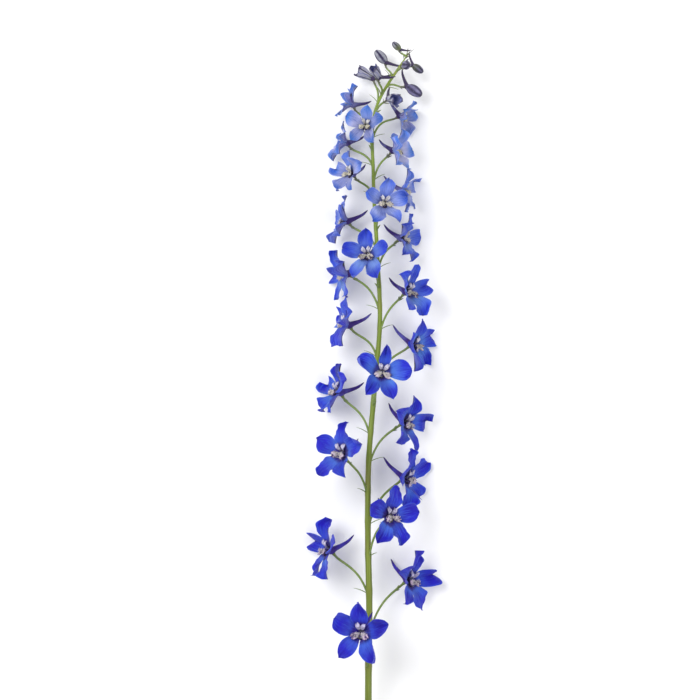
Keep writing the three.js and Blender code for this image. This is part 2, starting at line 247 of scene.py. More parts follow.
def plan():
    """Arrays with one entry for each flower, from the lowest: its node, size and direction."""
    k = np.arange(NODES)
    kinds = np.repeat(list(COUNTS), list(COUNTS.values()))
    shares = {kind: np.linspace(0, 1, count)[:, None] for kind, count in COUNTS.items()}
    size = np.vstack([mix(*SIZES[kind], share) for kind, share in shares.items()])
    blooms = slice(COUNTS["bloom"])
    size[blooms, :1] = mix(*SIZES["bloom"][:, 0], shares["bloom"] ** SHRINK)
    size[blooms, 1] += vary("reach", k[blooms])
    size[blooms, 2] += vary("rise", k[blooms])
    f = SimpleNamespace(k=k, kind=kinds)
    f.radius, f.reach, rise, f.girth, tilt, f.root, f.tip = size.T
    f.node = mix(FIRST_NODE, LAST_NODE, (1 - GAP_RATIO**k) / (1 - GAP_RATIO ** (NODES - 1)))
    f.at = f.node + rise
    f.azimuth = np.radians(FIRST_AZIMUTH + DIVERGENCE * k + vary("azimuth", k))
    f.tilt = np.radians(tilt + vary("tilt", k))
    f.forward = np.array([MIDDLE_FORWARD[kind] for kind in kinds])
    return f


def lowest_azimuth(f):
    """The lowest azimuth at which a flower still clears the surface."""
    climb = (REACH_DOWN * f.radius * np.cos(f.tilt) - stem_point(f.at)[:, 2]) / f.reach
    return np.clip(np.arcsin(np.clip(climb, -1, 1)), *np.radians(LOW_AZIMUTHS))


def fold_above(azimuth, low):
    """An azimuth folded into the part of the turn that lies above low on either side."""
    a = np.mod(azimuth, TAU)
    a = np.where(a > 0.75 * TAU, a - TAU, a)
    return np.clip(a, low, np.pi - low)


def place(f):
    """Each flower's hub and axes: w the way it faces, b towards the spike's tip and a across."""
    along = stem_way(f.at)
    f.hub = stem_point(f.at) + outward(f.at, f.turn) * f.reach[:, None]
    nod = (NOD_TO_TIP + vary("nod", f.k))[:, None]
    f.w = unit(outward(f.at, fold_above(f.turn, f.tilt)) + along * nod)
    f.b = turned(square_to(f.w, along), f.w, np.radians(vary("roll", f.k)))
    f.a = np.cross(f.b, f.w)


def settle(f):
    """Neighbours shoulder each other aside, round the stem and along it."""
    f.turn = fold_above(f.azimuth, lowest_azimuth(f))
    for _ in range(SETTLE_ROUNDS):
        place(f)
        centre = f.hub + f.w * (f.forward * f.radius)[:, None]
        apart = centre[None] - centre[:, None]
        gap = np.linalg.norm(apart, axis=-1)
        short = ROOM * (f.radius[None] + f.radius[:, None]) - gap
        np.fill_diagonal(short, 0)
        give = GIVE_WAY * np.maximum(short, 0) / np.maximum(gap, TINY)
        push = (apart * give[..., None]).sum(axis=0)
        sideways = outward(f.at, f.turn + TAU / 4)
        turn = f.turn + dot(push, sideways)[:, 0] / f.reach
        f.turn = fold_above(turn, lowest_azimuth(f))
        f.at = f.at + dot(push, stem_way(f.at))[:, 0]
    place(f)


def in_flower(f, a, b, w):
    """Points given in a flower's own axes."""
    return f.hub + a[..., None] * f.a + b[..., None] * f.b + w[..., None] * f.w


def about(f, turn, aside, out, forward):
    """Points given by how far out they lie in the direction turn, and aside from it."""
    a = aside * np.cos(turn) + out * np.sin(turn)
    return in_flower(f, a, out * np.cos(turn) - aside * np.sin(turn), forward)


# ---- closed skins ----


def skin(rings, **fields):
    """A batch of closed tubes from rings of points, shaped (..., rings, points, 3): quads between
    neighbouring rings and a fan over each end. fields are values for each point."""
    m, n = rings.shape[-3:-1]
    batch = rings.reshape(-1, m, n, 3)
    count = len(batch)
    size = m * n + 2

    def with_poles(values):
        flat = values.reshape(count, m * n, -1)
        poles = values[:, [0, -1]].mean(axis=2)
        return np.concatenate([flat, poles.reshape(count, 2, -1)], axis=1).reshape(count * size, -1)

    here = np.arange(m * n).reshape(m, n)
    after = np.roll(here, -1, axis=1)
    quads = np.stack([here[:-1], after[:-1], after[1:], here[1:]], axis=-1).reshape(-1, 4)
    start = np.stack([np.full(n, m * n), after[0], here[0]], axis=-1)
    end = np.stack([np.full(n, m * n + 1), here[-1], after[-1]], axis=-1)
    tris = np.vstack([start, end])
    shift = (np.arange(count) * size)[:, None, None]
    quads = (quads[None] + shift).reshape(-1, 4)
    tris = (tris[None] + shift).reshape(-1, 3)
    points = with_poles(batch)
    corners = points[np.vstack([tris, quads[:, :3], quads[:, [0, 2, 3]]])]
    if dot(corners[:, 0], np.cross(corners[:, 1], corners[:, 2])).sum() < 0:
        quads, tris = quads[:, ::-1], tris[:, ::-1]
    shape = rings.shape[:-1]
    fields = {
        name: with_poles(np.broadcast_to(value, shape).reshape(count, m, n, 1))[:, 0]
        for name, value in fields.items()
    }
    return SimpleNamespace(points=points, quads=quads, tris=tris, fields=fields)


def joined(skins):
    """Several skins as one: their points in a row, and the faces' numbers moved on to match."""
    start = np.cumsum([0] + [len(s.points) for s in skins[:-1]])
    names = skins[0].fields
    return SimpleNamespace(
        points=np.vstack([s.points for s in skins]),
        quads=np.vstack([s.quads + n for s, n in zip(skins, start)]),
        tris=np.vstack([s.tris + n for s, n in zip(skins, start)]),
        fields={name: np.concatenate([s.fields[name] for s in skins]) for name in names},
    )


def circles(centre, radius, axis, towards, sides):
    """Rings square to an axis: centre + radius (cos side + sin across), side being the part of
    the vector towards that is square to the axis. radius has a value for each ring or point."""
    side = square_to(axis, towards)[..., None, :]
    across = np.cross(axis[..., None, :], side)
    angle = round_turn(sides)[:, None]
    ring = np.cos(angle) * side + np.sin(angle) * across
    return centre[..., None, :] + ring * radius[..., None]


def round_rings(path, radius, towards, sides):
    """Round rings square to a path, which is shaped (..., rings, 3)."""
    along = unit(np.gradient(path, axis=-2))
    return circles(path, np.asarray(radius)[..., None], along, towards, sides)


def leaf_rings(mid, grid, thickness):
    """Rings round a thin leaf about the surface mid(u, v). u goes from root almost to tip as a
    sine, v is minus the cosine of the angle round the ring, and the skin lies half the thickness
    times the root of the sine to either side, so the edges are round. Returns rings, u, v, back."""
    rows, columns = grid
    almost, step = 0.996, 0.01
    u = almost * np.sin(np.linspace(0, TAU / 4, rows))[:, None]
    angle = round_turn(columns)
    v = -np.cos(angle)[None]
    over = mid(u, np.minimum(v + step, 1)) - mid(u, np.maximum(v - step, -1))
    ahead = mid(np.minimum(u + step, 1), v) - mid(np.maximum(u - step, 0), v)
    normal = np.cross(over, ahead)
    normal = normal / np.maximum(np.sqrt(dot(normal, normal)), TINY)
    face = np.sign(np.sin(angle))
    offset = face * np.sqrt(np.abs(np.sin(angle))) * thickness(u) / 2
    return mid(u, v) + normal * offset[..., None], u, v, 0.5 - 0.5 * face


def hair_rings(root, lean, long, droop, radius, side):
    """Rings of slim three-sided cones, one for each root: straight along lean for their length,
    bent by droop times the square of the share of it. Returns the rings and that share."""
    t = np.linspace(0, 1, 3)[:, None]
    long = long[:, None, None]
    path = root[:, None] + lean[:, None] * long * t + droop[:, None] * long * t**2
    return round_rings(path, mix(radius, 0.3 * radius, t[:, 0]), side[..., None, :], 3), t


def off_surface(points):
    """Keeps points above the surface: z becomes half of z plus the root of z squared and a rim."""
    rim = 0.3
    z = points[:, 2]
    lifted = points.copy()
    lifted[:, 2] = (z + np.sqrt(z**2 + rim**2)) / 2
    return lifted


# ---- the open bloom ----


def sepal_width(u, late, blunt):
    """Half-width as a share of the greatest: a narrow claw, then the sine of half a turn times
    u to a power near late, itself to the power blunt, narrowed again to a short point, which is
    the shorter the blunter the sepal is."""
    body = np.sin(np.pi * u ** (late - 0.1)) ** blunt
    return 0.13 * (1 - u) ** 2 + 0.98 * body * mix(1, 1.2 - 0.9 * blunt, smooth(u, 0.9, 1))


def frame_width(u, late, _):
    """The outline that the frame's solids have, with a cut-off end."""
    return 0.12 * (1 - u) + 0.98 * np.sin(np.pi * mix(0.004, 0.944, u**late)) ** 0.8


def sepal_mid(f, i, kind, form, width_at=sepal_width):
    """Middle surface of a flower's sepal i. The midrib is an arc that leans forward of the face by
    one angle at the claw and another at the tip, the edges lift by a share of their distance from
    it, and a twist lifts one edge more. form changes its size and turn a little and adds waves
    along the edges, a crease at the midrib, a rolled edge, a fold towards the tip, a sideways sway,
    a hooded or bent-back tip, and a furl, which gives all five the same twist, so that each lies
    over the next."""
    turn, long, wide, late, blunt, _ = SEPALS[i]
    longer, wider, cup = kind
    item = len(SEPALS) * f.k + i
    length = long * longer * f.radius * form.longer - CLAW
    half = wide * wider * f.radius * form.wider / 2
    turn = np.radians(turn + form.turn)
    start = np.radians(f.root + vary("sepal root", f.k))
    end = np.radians(f.tip + vary("sepal tips", f.k) + vary("sepal tip", item))
    bow = end - start
    twist = mix(vary("sepal twist", item), FURL, form.furl)

    def mid(u, v):
        angle = start + bow * u
        side = half * width_at(u, late, blunt) * v
        far = smooth(u, 0.2, 0.65)
        wave = np.sin(TAU * (form.waves * u + form.phase + 0.18 * np.sign(v)))
        frill = np.sin(TAU * (2.7 * form.waves * u + 2 * form.phase + 0.4 * v))
        ripple = far * form.ruffle * (np.abs(v) ** 1.6 * wave + 0.3 * np.abs(v) ** 3 * frill)
        crease = form.crease * (1 - np.minimum(np.abs(v) / 0.22, 1)) ** 2 * smooth(u, 0.05, 0.4)
        rolled = form.roll * half * far * smooth(v * np.sign(form.phase), 0.25, 1) ** 2
        fold = form.fold * np.abs(side) * smooth(u, 0.3, 0.9)
        hood = form.hood * smooth(u, 0.5, 1.1) * (1 - 0.5 * v**2)
        lift = cup * np.abs(side * v) + twist * side * u + ripple - crease + rolled + fold + hood
        across = side * (1 - 0.5 * form.fold * u) + form.sway * u**2 - 0.35 * rolled * np.sign(v)
        out = CLAW + length * (np.sin(angle) - np.sin(start)) / bow - lift * np.sin(angle)
        forward = length * (np.cos(start) - np.cos(angle)) / bow + lift * np.cos(angle)
        return about(f, turn, across, out, forward)

    return mid


def sepal_form(f, i, liveliness):
    """How one sepal waves, creases, rolls, folds and sways, drawn for it alone."""
    n = len(SEPALS) * f.k + i
    size = f.radius * liveliness
    return SimpleNamespace(
        longer=1 + 0.05 * draw(n, 33),
        wider=1 + 0.13 * draw(n, 34),
        turn=6 * draw(n, 35),
        ruffle=size * (0.065 + 0.035 * draw(n, 21)),
        waves=1.5 + 0.5 * draw(n, 22),
        phase=draw(n, 23),
        crease=size * (0.03 + 0.015 * draw(n, 24)),
        roll=liveliness * max(0.75 * draw(n, 28), 0),
        fold=liveliness * max(1.3 * draw(n, 30) - 0.2, 0),
        sway=size * 0.13 * draw(n, 25),
        hood=size * (0.02 + 0.15 * draw(n, 27)),
        furl=0,
    )


# The plain sepal of the frame's solids, without any of that.
PLAIN = SimpleNamespace(
    longer=1,
    wider=1,
    **dict.fromkeys("turn ruffle waves phase crease roll fold sway hood furl".split(), 0),
)


def sepal_thickness(u):
    return mix(0.75, 0.34, smooth(u, 0, 0.25))


def sepal(f, i):
    """One sepal of an open bloom."""
    mid = sepal_mid(f, i, OPEN, sepal_form(f, i, 1))
    rings, u, v, back = leaf_rings(mid, GRIDS["sepal"], sepal_thickness)
    glow = SEPALS[i][-1] * (1 + 0.3 * draw(len(SEPALS) * f.k + i, 29))
    return skin(rings, along=u, across=v, back=back, glow=glow, spur=0, youth=f.youth)


def spur(f):
    """Throat, hub and spur in one skin. The rings widen from the bottom of the throat to the rim,
    turn over it and run back along hub and spur. The field spur is a half inside the throat."""
    length = SPUR_LENGTH[f.kind] * f.radius
    girth = f.girth
    hub = np.array([[0, HUB_FRONT, HUB_RADIUS], [0, -1.1, HUB_RADIUS], [1.6, -3.4, 2.1]]) * girth
    rings = np.vstack([hub, SPUR_RINGS * [length, length, girth]])
    swerve = vary("spur swerve", f.k) / length
    knots = np.column_stack([rings, swerve * rings[:, 1] ** 2])
    t = np.linspace(0.04, 1, 26)
    up, forward, radius, aside = spline(knots, t).T
    radius = radius * mix(0.94, 1, smooth(t, 0.3, 0.6))
    radius[-3:] *= [0.95, 0.8, 0.42]
    outer = in_flower(f, aside, up, forward)
    back_along = unit(np.gradient(outer, axis=0))
    s = np.linspace(0, 1, 8)
    inner = in_flower(f, 0 * s, 0 * s, mix(-2.6, 0.75, s**0.8) * girth)
    inner_radius = mix(0.25, 2.75, np.sin(s * TAU / 4)) * girth
    centre = np.vstack([inner, outer])
    axis = np.vstack([np.tile(-f.w, (len(s), 1)), back_along])
    axis = unit(mix(-f.w, axis, smooth(np.arange(len(axis)), len(s), len(s) + 5)[:, None]))
    wide = np.concatenate([inner_radius, radius])[:, None]
    sides = 14
    pucker = 1 + 0.05 * np.cos(5 * round_turn(sides))
    rings = circles(centre, wide * pucker, axis, f.a, sides)
    along = np.concatenate([0 * s, t])[:, None]
    part = np.concatenate([0.5 + 0 * s, 1 + 0 * t])[:, None]
    return skin(rings, along=along, across=0, back=0, glow=0, spur=part, youth=f.youth)


# ---- the bee: four petals, their beard and the stamens ----

# Turn from straight up, length and width in the lowest bloom, and 1 for a lower, bearded petal.
PETALS = [(28, 6, 3.6, 0), (118, 6, 4.6, 1), (242, 6, 4.6, 1), (332, 6, 3.6, 0)]
PETAL_RISE = 0.75
PETAL_NOTCH = 1.4
BEE_FULLNESS = 1.1


def petal_mid(f, i):
    """Middle surface of a bee's petal. It leaves the throat steeply, bends outward, widens to
    two lobes with a notch between them, frills at its rim and curls over at the tip. The lower
    petals are notched more deeply and spread a little downward."""
    turn, length, width, low = PETALS[i]
    n = len(PETALS) * f.k + i
    size = BEE_FULLNESS * f.radius / WIDEST
    turn = np.radians(turn + 7 * draw(n, 31))
    tall = (1.1 + PETAL_RISE * (length - PETAL_NOTCH)) * (1 + 0.12 * draw(n, 32))
    curl = 1.1 + 0.8 * draw(n, 33)
    notch_depth = mix(2.1, 2.8, low)
    frill = mix(0.5, 0.8, low)

    def mid(u, v):
        rim = smooth(u, 0.45, 1)
        notch = notch_depth * (1 - np.abs(v)) ** 1.6 * rim
        waves = frill * rim * np.abs(v) * np.sin(TAU * (2.2 * u + draw(n, 34) + 0.9 * v))
        ragged = 0.4 * rim * np.sin(TAU * (1.6 * v + draw(n, 35)))
        far = mix(0.7, length * 1.04, u**1.3) - notch + 0.6 * waves + ragged
        forward = HUB_FRONT - 2.4 + (tall + 2.6) * np.sin(u * TAU / 4) ** 0.9
        forward = forward - curl * smooth(u, 0.65, 1) + 0.45 * v**2 * (1 if low else -1) + waves
        lobe = mix(0.42, 1, smooth(u, 0.2, 0.72)) * np.sqrt(1 - 0.93 * u**7)
        parted = 0.35 * np.sign(v) * rim * (1 - np.abs(v)) * low
        side = width / 2 * mix(0.88, 1, low) * lobe * v + parted
        return about(f, turn, size * side, size * far, size * forward)

    return mid


def petal_thickness(u):
    return mix(0.5, 0.3, u)


def petal(f, i):
    rings, u, v, _ = leaf_rings(petal_mid(f, i), GRIDS["petal"], petal_thickness)
    return skin(rings, along=u, across=v, low=PETALS[i][-1], hair=0, youth=f.youth)


def beard(f, i):
    """Hairs on the middle of a lower petal, which stand off it and lean towards the throat."""
    count, long, varied, radius = BEARD_HAIRS
    n = np.arange(count) + 97 * f.k + 31 * i
    u = 0.6 + 0.24 * draw(n, 41)
    v = 0.7 * draw(5 * n, 42)
    mid = petal_mid(f, i)
    root = mid(u, v)
    ahead = unit(mid(u + 0.02, v) - mid(u - 0.02, v))
    over = unit(mid(u, v + 0.02) - mid(u, v - 0.02))
    normal = unit(np.cross(over, ahead))
    back_by = (0.1 + 0.4 * draw(3 * n, 43))[:, None]
    aside_by = 0.55 * draw(7 * n, 44)[:, None]
    lean = unit(normal - ahead * back_by + over * aside_by)
    long = (f.radius / WIDEST) * (long + varied * draw(2 * n, 45))
    rings, along = hair_rings(root, lean, long, -0.35 * ahead, radius, f.b)
    return skin(rings, along=along, across=0, low=1, hair=1, youth=f.youth)


def bee(f):
    petals = [petal(f, i) for i in range(len(PETALS))]
    beards = [beard(f, i) for i, form in enumerate(PETALS) if form[-1]]
    return joined(petals + beards)


def pods(f, size):
    """The pistil's three green pods side by side in the throat, their radius falling in a smooth
    S to that of the fine styles they end in, which spread as the square of the way along."""
    t = np.linspace(0, 1, 10)
    out = size * (0.5 + 0.9 * t**2)
    path = about(f, round_turn(3)[:, None], 0, out, size * mix(-1.6, 3.1, t))
    radius = size * mix(0.55, 0.13, smooth(t, 0.35, 0.7)) * mix(0.7, 1, smooth(t, 0, 0.3))
    return round_rings(path, radius, f.a, 8)


def stamens(f):
    """Thin threads that leave the throat in a golden spiral and bend down, each with a dark,
    egg-shaped anther on its end, and the pods in their midst."""
    count = 24
    n = np.arange(count)
    size = f.radius / WIDEST
    angle = (n * GOLDEN + f.k)[:, None]
    far = mix(0.3, 1, np.sqrt((n + 0.5) / count))[:, None]
    t = np.linspace(0, 1, 5)
    out = size * far * (0.9 + 1.5 * t)
    tall = size * (3.4 + 1.1 * draw(n, 51))[:, None]
    sag = size * 2.3 * t**2
    forward = tall * np.sin(t * TAU / 4) - size
    path = in_flower(f, out * np.sin(angle), out * np.cos(angle) - sag, forward)
    threads = round_rings(path, size * THREAD_RADIUS, f.a, 4)
    long, wide = ANTHER
    t = np.linspace(0.04, 0.96, 5)
    ahead = unit(path[:, -1] - path[:, -2])[:, None]
    lean = unit(ahead + 0.5 * f.a * draw(n, 52)[:, None, None])
    centres = path[:, -1:] + lean * (size * long * (t - 0.5))[:, None]
    anthers = round_rings(centres, size * wide * np.sin(np.pi * t), f.b, 6)
    parts = [(threads, 0, 0), (anthers, 1, 0), (pods(f, size), 0, 1)]
    return joined([skin(rings, anther=anther, pod=pod, youth=f.youth) for rings, anther, pod in parts])


# ---- half-open blooms and buds ----


def half_open_sepal(f, i):
    """One sepal of a half-open bloom, calmer than an open one's and furled over the next."""
    form = sepal_form(f, i, 0.4)
    form.hood = -0.02 * f.radius
    form.furl = 1
    mid = sepal_mid(f, i, HALF_OPEN, form)
    rings, u, v, back = leaf_rings(mid, GRIDS["half_open"], sepal_thickness)
    return skin(rings, along=u, across=v, back=back, glow=0, spur=0, youth=f.youth)


def bud_egg(f):
    """The closed sepals: a pointed egg whose radius swells in five ribs with a groove between
    each two, turned a little as it closes. Its youth is counted among the buds alone."""
    rows, sides = 24, 50
    polar = np.linspace(0.06, np.pi - 0.04, rows)[:, None]
    t = (1 - np.cos(polar)) / 2
    angle = round_turn(sides)
    twisted = angle + 0.35 * t
    depth = 0.16 + 0.14 * smooth(t, 0.6, 1)
    ribs = 1 + depth * (np.abs(np.cos(2.5 * twisted)) ** 0.7 - 0.6) * np.sin(polar)
    r = 0.61 * f.radius * ribs * (1 - 0.14 * t) * np.sin(polar) ** mix(1, 0.85, t)
    rings = about(f, angle, 0, r, 2 * f.radius * t - 1)
    across = np.abs(np.cos(2.5 * twisted))
    pale = np.clip(draw(f.k, 61), 0, 1)
    young = 1 - (NODES - 1 - f.k) / (COUNTS["bud"] - 1)
    return skin(rings, along=t, across=across, back=1, glow=pale, spur=0, youth=young)


# ---- stalks, bracts and stem ----


def stalk_path(f, t):
    """Cubic Bezier from the node, beside the stem, to the slanted seat under the flower's hub."""
    out = outward(f.node, f.turn)
    seat_up, seat_forward, slant = STALK_SEAT
    slant = np.radians(slant)
    into = f.b * np.sin(slant) + f.w * np.cos(slant)
    end = f.hub + f.b * seat_up * f.girth + f.w * seat_forward * f.girth
    follow, close, straight = STALK_BOW
    beside = stem_point(mix(f.node, f.at, follow)) + out * close * f.reach
    corners = [stem_point(f.node), beside, end - into * straight * f.reach, end]
    t = t[..., None]
    weights = [(1 - t) ** 3, 3 * t * (1 - t) ** 2, 3 * t**2 * (1 - t), t**3]
    return sum(w * p for w, p in zip(weights, corners))


def axil(f):
    """How far up the stem a stalk comes out of it."""
    s = np.linspace(f.node, f.node + 40, 81)
    path = stalk_path(f, np.linspace(0, 0.6, 61))
    gap = np.linalg.norm(path[:, None] - stem_point(s), axis=-1)
    first = np.argmax(gap.min(axis=1) > 0.8 * stem_radius(f.node))
    return s[gap[first].argmin()]


def stalk_radius(f, t):
    root, flower = STALK_RADIUS
    flare = flower * f.girth
    radius = mix(root * mix(0.8, 1, f.girth), 0.8 * flare, smooth(t, 0, 0.9))
    return radius + 0.55 * flare * smooth(t, 0.93, 1) + 0.5 * root * (1 - smooth(t, 0, 0.12))


def stalk(f):
    """A stalk, thicker towards the flower, with a small swelling at either end."""
    t = np.linspace(0, 1, 26)
    rings = round_rings(stalk_path(f, t), stalk_radius(f, t), f.a, 10)
    return skin(rings, along=t[:, None], across=0, youth=f.youth)


def down(f):
    """Short pale hairs all round a stalk, in a golden spiral, leaning towards the flower."""
    count, long, varied, radius = DOWN_HAIRS
    n = np.arange(count)
    t = mix(0.12, 0.9, (n + 0.5) / count)
    centre = stalk_path(f, t)
    along = unit(stalk_path(f, t + 0.01) - centre)
    out = turned(square_to(along, f.a), along, n * GOLDEN)
    root = centre + out * (stalk_radius(f, t) - radius)[:, None]
    lean = unit(out + 0.35 * along)
    long = long + varied * draw(n, 72)
    rings, share = hair_rings(root, lean, long, 0.2 * along, radius, along)
    return skin(rings, along=share, across=0, youth=f.youth)


def small_leaf(root, ahead, over, long, wide, bend, tint, youth):
    """A narrow bract: width as the sine of the share of its length, folded along its middle and
    bending by bend times its length as the square of that share."""
    facing = np.cross(over, ahead)

    def mid(u, v):
        half = wide / 2 * np.sin(np.pi * (0.12 + 0.88 * u)) ** 0.8
        lift = bend * long * u**2 + 0.35 * half * np.abs(v)
        flat = ahead * (long * u)[..., None] + over * (half * v)[..., None]
        return root + flat + facing * lift[..., None]

    rings, _, v, _ = leaf_rings(mid, GRIDS["leaf"], lambda u: 0.4 - 0.2 * u)
    return skin(rings, along=tint, across=v, youth=youth)


def bracts(f):
    """A bract at the foot of a stalk and two bracteoles on it, below the flower."""
    size = 0.45 + 0.55 * f.girth
    at = axil(f)
    along, out = stem_way(at), outward(at, f.turn)
    low = stem_point(at - 1.5) + out * stem_radius(at) * 0.8
    ahead = unit(along * 0.75 + out)
    over = unit(np.cross(along, out))
    long, wide, *finish = BRACT
    made = [small_leaf(low, ahead, over, long * size, wide * size, *finish, f.youth)]
    long, wide, *finish = BRACTEOLE
    for side, n in ((1, 0), (-1, 1)):
        share = 0.72 + 0.05 * n
        root, after = stalk_path(f, np.array([share, share + 0.03]))
        ahead = unit(after - root)
        aside = square_to(ahead, f.a) * side
        root = root + aside * 0.5 * f.girth
        lean = unit(ahead + 0.55 * aside)
        own = (long + 1.2 * draw(2 * f.k + n, 71)) * size
        leaf = small_leaf(root, lean, np.cross(ahead, aside), own, wide * size, *finish, f.youth)
        made.append(leaf)
    return joined(made)


def tip_bracts():
    """Thin upright bracts in a golden spiral round the spike's tip."""
    long, *finish = TIP_BRACT
    made = []
    for n in range(5):
        at = STEM_LENGTH - 1.2 - 1.1 * n
        along, out = stem_way(at), outward(at, n * GOLDEN)
        ahead = unit(along + (0.18 + 0.14 * n) * out)
        over = unit(np.cross(along, out))
        root = stem_point(at) + out * 0.3
        made.append(small_leaf(root, ahead, over, long - 0.7 * n, *finish, 1.0))
    return joined(made)


def stem(flowers):
    """The stem: rings along its curve with five soft ridges and a swelling at each axil, drawn
    out to a thin tip, sheared at the cut end to a slant, over the rim and down into the hollow
    of the pith."""
    slant = np.tan(np.radians(CUT_ANGLE))
    s = np.concatenate([np.linspace(0, 12, 16), np.linspace(14, STEM_LENGTH, 260)])
    axils = np.array([axil(f) for f in flowers])
    swell = 0.1 * np.exp(-(((s[:, None] - axils) / 3.5) ** 2)).max(axis=1)
    radius = stem_radius(s) * (1 + swell) * mix(1, 0.3, smooth(s, STEM_LENGTH - 14, STEM_LENGTH))
    centre = stem_point(s)
    sides = 30
    angle = round_turn(sides)
    ridges = 0.035 * np.cos(5 * angle + s[:, None] / 60) * smooth(s, 0, 3)[:, None]
    axis = unit(np.gradient(centre, axis=0))
    rings = circles(centre, radius[:, None] * (1 + ridges), axis, UP, sides)
    share, deep = np.array(HOLLOW[::-1]).T[..., None, None]
    hollow = centre[0] + (rings[0] - centre[0]) * share + deep * [0, 1, 0.1]
    rings = np.concatenate([hollow, rings])
    height = rings[..., 2] - centre[0, 2] + STEM_RADIUS["cut"]
    depth = np.concatenate([np.zeros(len(hollow)), s])[:, None]
    rings[..., 1] += height * slant * np.exp(-depth / 7)
    pith = np.concatenate([np.linspace(1, 0.3, len(hollow)), np.zeros(len(s))])[:, None]
    along = depth / STEM_LENGTH
    return skin(rings, along=along, across=np.cos(angle)[None], pith=pith, youth=along)


# ---- materials ----


def srgb(red, green, blue):
    """A colour given as 0 to 255 on a screen, as linear light."""
    c = np.array([red, green, blue]) / 255
    return (*np.where(c <= 0.04045, c / 12.92, ((c + 0.055) / 1.055) ** 2.4), 1)


class Paint:
    """A material's node tree, with short ways to add the nodes that these finishes use. A colour
    is another node's, or red, green and blue from 0 to 255."""

    def __init__(self, name):
        self.material = bpy.data.materials.new(name)
        self.material.use_nodes = True
        self.tree = self.material.node_tree
        self.tree.nodes.clear()

    def add(self, kind, inputs=(), **settings):
        node = self.tree.nodes.new(kind)
        for name, value in settings.items():
            setattr(node, name, value)
        for socket, value in dict(inputs).items():
            if isinstance(value, bpy.types.NodeSocket):
                self.tree.links.new(value, node.inputs[socket])
            else:
                colour = isinstance(value, tuple)
                node.inputs[socket].default_value = srgb(*value) if colour else value
        return node

    def fields(self, *names):
        return [self.add("ShaderNodeAttribute", attribute_name=name).outputs["Fac"] for name in names]

    def math(self, operation, *values):
        return self.add("ShaderNodeMath", dict(enumerate(values)), operation=operation).outputs[0]

    def times(self, a, b):
        return self.math("MULTIPLY", a, b)

    def fade(self, value, low, high, start=0, end=1):
        """start while value is below low, end once it is above high, a smooth S between."""
        inputs = {0: value, 1: low, 2: high, 3: start, 4: end}
        return self.add("ShaderNodeMapRange", inputs, interpolation_type="SMOOTHSTEP").outputs[0]

    def ramp(self, value, *stops):
        """Colours along a value. Each stop is its place and its colour's three numbers."""
        node = self.add("ShaderNodeValToRGB", {0: value})
        elements = node.color_ramp.elements
        while len(elements) < len(stops):
            elements.new(0.5)
        for element, (at, *colour) in zip(elements, stops):
            element.position = at
            element.color = srgb(*colour)
        return node.outputs["Color"]

    def blend(self, share, under, over):
        inputs = {0: share, 6: under, 7: over}
        return self.add("ShaderNodeMix", inputs, data_type="RGBA").outputs[2]

    def lay(self, colour, *layers):
        """Layers over a colour, each a colour, a value and how its share fades with that."""
        for over, value, *span in layers:
            colour = self.blend(self.fade(value, *span), colour, over)
        return colour

    def noise(self, scale, detail, *drawn):
        """Noise through space, or over three values, drawn out along the slowest of them."""
        if drawn:
            where = self.add("ShaderNodeCombineXYZ", dict(enumerate(drawn))).outputs[0]
        else:
            where = self.add("ShaderNodeTexCoord").outputs["Object"]
        inputs = {"Vector": where, "Scale": scale, "Detail": detail}
        return self.add("ShaderNodeTexNoise", inputs).outputs["Fac"]

    def finish(self, colour, roughness, shine, bump=None, sheen=0, through=0):
        """The finished material. bump is a height and its depth in metres, and through the share
        of the light that shines through a petal."""
        inputs = {"Base Color": colour, "Roughness": roughness}
        inputs |= {"Specular IOR Level": shine, "Sheen Weight": sheen}
        if bump:
            relief = dict(zip(("Height", "Distance"), bump))
            inputs["Normal"] = self.add("ShaderNodeBump", relief).outputs[0]
        surface = self.add("ShaderNodeBsdfPrincipled", inputs).outputs[0]
        if through:
            thin = self.add("ShaderNodeBsdfTranslucent", {"Color": colour}).outputs[0]
            surface = self.add("ShaderNodeMixShader", {0: through, 1: surface, 2: thin}).outputs[0]
        self.add("ShaderNodeOutputMaterial", {"Surface": surface})
        return self.material


# What a flower's youth is multiplied by, so that no two flowers have the same veins.
VEIN_STEP = 37


